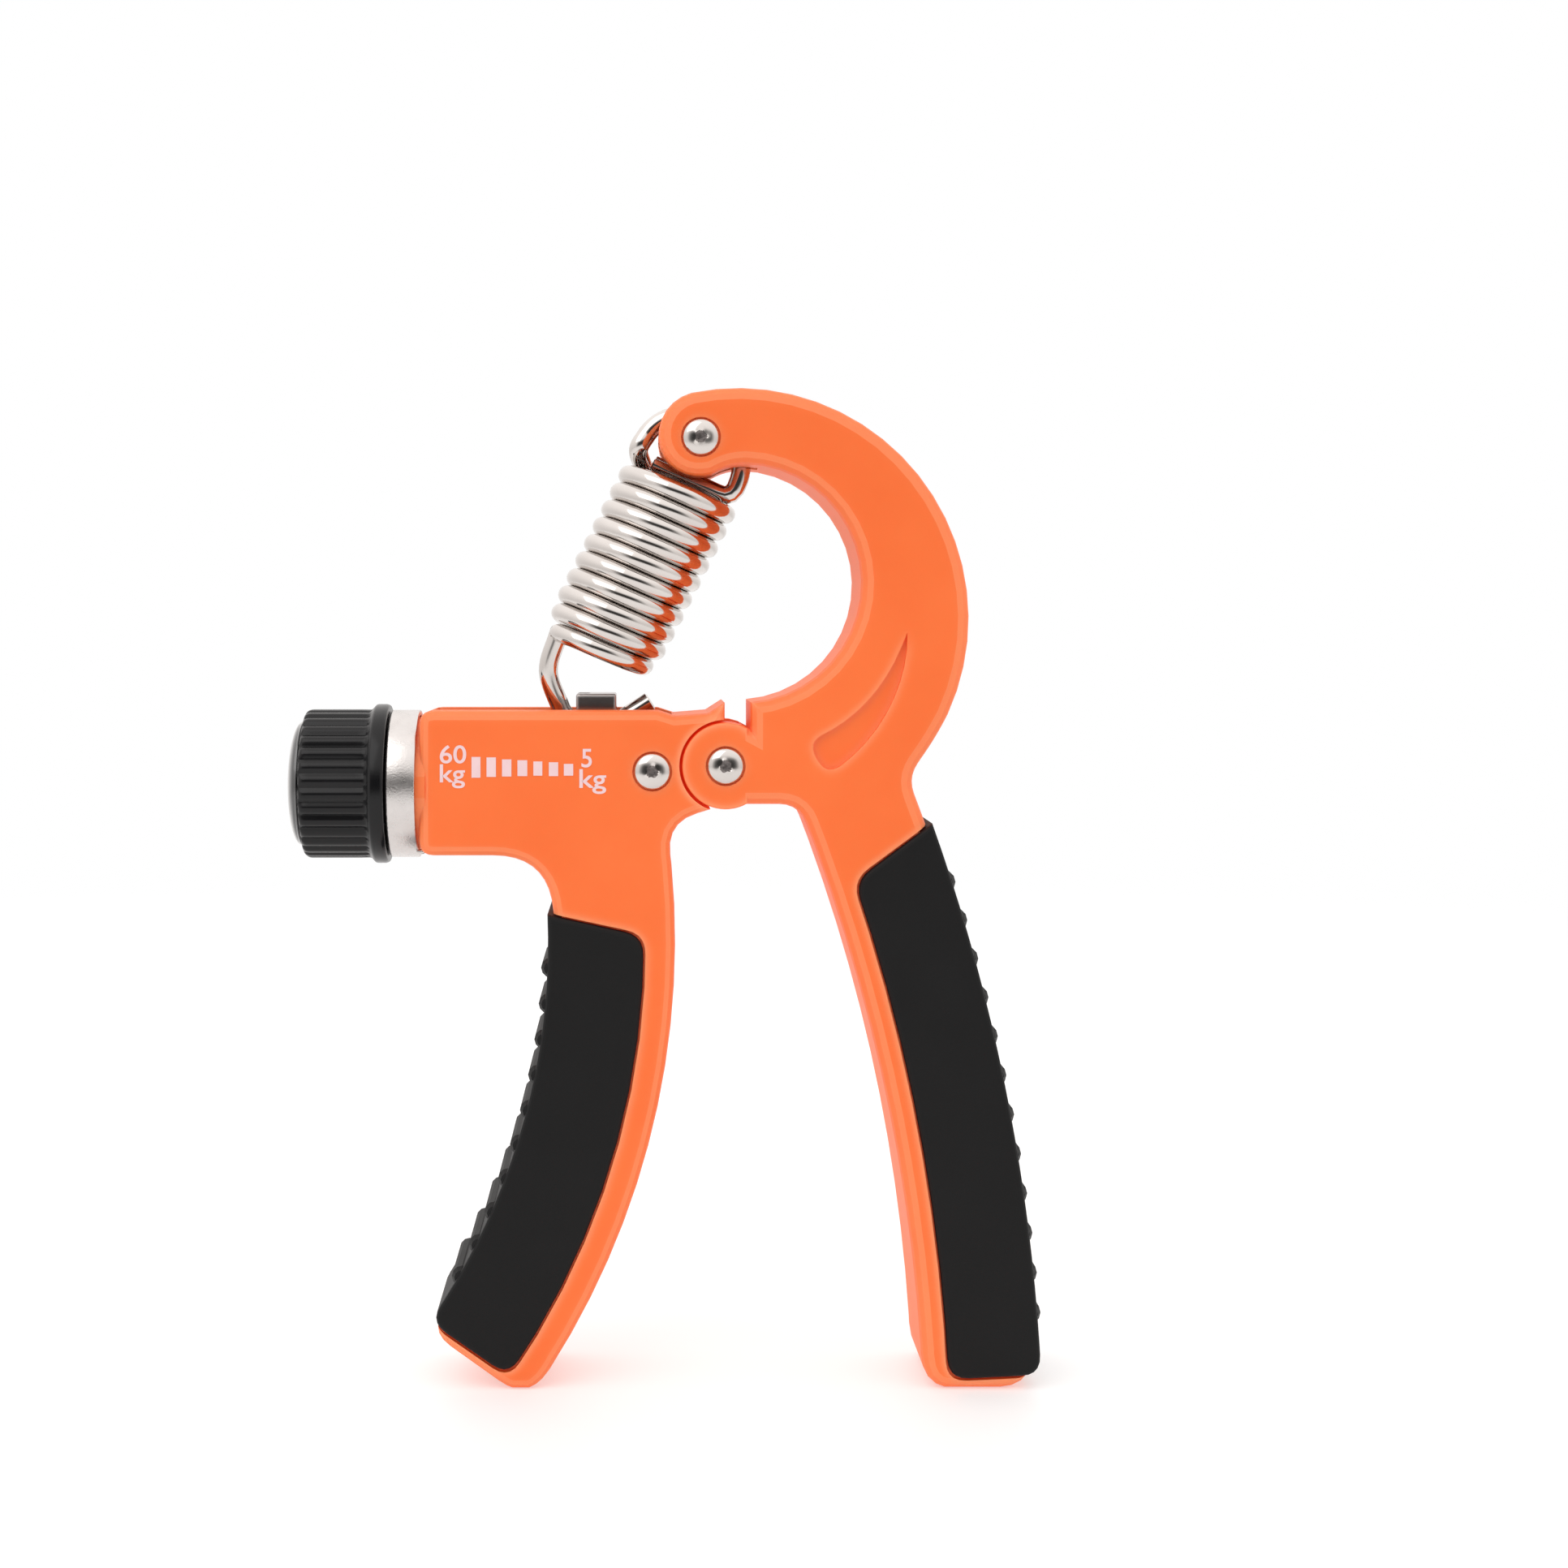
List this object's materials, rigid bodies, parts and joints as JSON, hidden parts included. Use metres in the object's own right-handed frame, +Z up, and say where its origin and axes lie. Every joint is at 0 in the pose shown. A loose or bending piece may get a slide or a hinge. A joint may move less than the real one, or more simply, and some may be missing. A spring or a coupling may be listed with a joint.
{
  "type": "hand grip strengthener",
  "caption": "Two curved handles with rubber covers on a pivot, pulled apart by an extension spring whose load is set by a knob",
  "frame": {"origin": "middle of the overall box in X and Y, at floor level: both feet stand on Z = 0", "axes": "+X from the adjusting knob to the right handle, +Y from the side with the printed scale to the other side, +Z up from the feet to the curved arm"},
  "size_m": [0.1142, 0.0244, 0.1503],
  "materials": {
    "left_handle_frame": "moulded orange plastic, slightly glossy, with a pale printed scale on the front of the arm",
    "left_grip_cover": "matt black rubber with cross ribs on the back",
    "arm_end_collar": "satin nickel-plated sheet steel",
    "screw_front_bush": "white nylon",
    "screw_end_bearing": "white nylon",
    "arm_rivet": "bright nickel-plated steel, dimpled head",
    "knob_body": "black plastic, half gloss, fluted",
    "knob_end_cap": "black plastic, glossy, domed",
    "knob_fixing_screw": "zinc-plated steel",
    "adjusting_screw": "zinc-plated steel, threaded",
    "screw_clip": "blued spring steel",
    "thrust_washer": "brass",
    "traveller_nut": "brass",
    "traveller_strap": "zinc-plated sheet steel",
    "right_handle_frame": "moulded orange plastic, slightly glossy, with a drop-shaped recess in each side",
    "right_grip_cover": "matt black rubber with cross ribs on the back",
    "pivot_rivet": "bright nickel-plated steel, dimpled head",
    "spring_rivet": "bright nickel-plated steel, dimpled head",
    "spring_sleeve": "zinc-plated steel",
    "spring_coil": "bright nickel-plated spring wire",
    "spring_lower_hook": "bright nickel-plated spring wire"
  },
  "bodies": {
    "pivot": {"pivot_rivet": "pivot_rivet"},
    "left_handle": {"left_handle_frame": "left_handle_frame", "left_grip_cover": "left_grip_cover", "arm_end_collar": "arm_end_collar", "screw_front_bush": "screw_front_bush", "screw_end_bearing": "screw_end_bearing", "arm_rivet": "arm_rivet"},
    "knob": {"knob_body": "knob_body", "knob_end_cap": "knob_end_cap", "knob_fixing_screw": "knob_fixing_screw", "adjusting_screw": "adjusting_screw", "screw_clip": "screw_clip", "thrust_washer": "thrust_washer"},
    "traveller": {"traveller_nut": "traveller_nut", "traveller_strap": "traveller_strap"},
    "right_handle": {"right_handle_frame": "right_handle_frame", "right_grip_cover": "right_grip_cover", "spring_rivet": "spring_rivet", "spring_sleeve": "spring_sleeve"},
    "spring_upper": {"spring_coil": "spring_coil"},
    "spring_lower": {"spring_lower_hook": "spring_lower_hook"}
  },
  "joints": [
    {"name": "handle_set", "type": "hinge", "parent": "pivot", "child": "left_handle", "pos_m": [0.009, 0, 0.0935], "axis": [0, -1, 0], "range_deg": [-13.2, 0]},
    {"name": "knob_turn", "type": "hinge", "parent": "left_handle", "child": "knob", "pos_m": [-0.0422, 0, 0.0903], "axis": [-1, 0, 0], "range_deg": [-5760, 0]},
    {"name": "traveller_slide", "type": "slide", "parent": "left_handle", "child": "traveller", "axis": [1, 0, 0], "range_m": [-0.016, 0]},
    {"name": "handle_squeeze", "type": "hinge", "parent": "pivot", "child": "right_handle", "pos_m": [0.009, 0, 0.0935], "axis": [0, 1, 0], "range_deg": [0, 32], "stiffness_Nm_per_rad": 2.5, "springref_deg": -22.92},
    {"name": "spring_swing", "type": "hinge", "parent": "right_handle", "child": "spring_upper", "pos_m": [0.0053, 0, 0.14285], "axis": [0, -1, 0], "range_deg": [-19.8, 0]},
    {"name": "spring_stretch", "type": "slide", "parent": "spring_upper", "child": "spring_lower", "axis": [0.0234, 0, -0.9997], "range_m": [0, 0.0112], "deforming": ["spring_coil", "spring_lower_hook"]}
  ],
  "couplings": [
    {"joint": "traveller_slide", "follows": "knob_turn", "m_per_rad": 0.00015915},
    {"joint": "handle_set", "follows": "knob_turn", "ratio": 0.0022617},
    {"joint": "spring_swing", "follows": "knob_turn", "ratio": 0.0034051},
    {"joint": "spring_stretch", "follows": "handle_squeeze", "m_per_rad": 0.019895}
  ]
}
